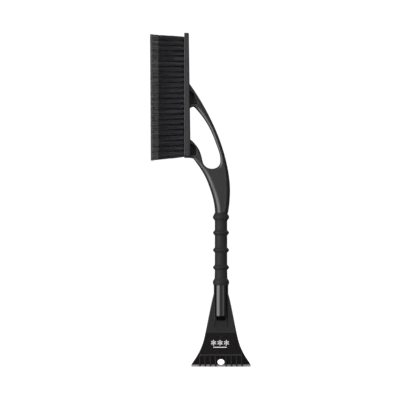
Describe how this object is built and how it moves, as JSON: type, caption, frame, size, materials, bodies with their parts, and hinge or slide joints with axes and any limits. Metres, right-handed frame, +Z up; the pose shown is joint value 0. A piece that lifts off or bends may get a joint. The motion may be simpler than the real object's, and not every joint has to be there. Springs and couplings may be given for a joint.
{
  "type": "snow brush with ice scraper",
  "caption": "Long-handled car snow brush with side-facing bristles, an arched open neck, a ringed grip and a flared ice scraper blade on the other end.",
  "frame": {"origin": "middle of the grip, on the axis of the handle tube", "axes": "+Z up the handle from the scraper to the brush, -X the way the bristles point, -Y the front, which shows the scraper's face"},
  "size_m": [0.169, 0.0437, 0.5595],
  "materials": {
    "frame_plastic": "satin moulded",
    "block_plastic": "satin moulded",
    "scraper_plastic": "glossy moulded",
    "grip_rubber": "matte rubber",
    "bristle": "fine fibres",
    "tube_steel": "zinc plated",
    "screw_steel": "zinc plated",
    "anchor_wire": "drawn wire"
  },
  "bodies": {
    "root": {"handle_frame": "frame_plastic", "brush_block": "block_plastic", "scraper_head": "scraper_plastic", "grip_sleeve": "grip_rubber", "core_tube": "tube_steel", "block_screws": "screw_steel", "tube_screws": "screw_steel", "bristle_row_1": "bristle", "bristle_row_2": "bristle", "bristle_row_3": "bristle", "bristle_row_4": "bristle", "bristle_row_5": "bristle", "tuft_anchors_1": "anchor_wire", "tuft_anchors_2": "anchor_wire", "tuft_anchors_3": "anchor_wire", "tuft_anchors_4": "anchor_wire", "tuft_anchors_5": "anchor_wire"}
  },
  "joints": []
}
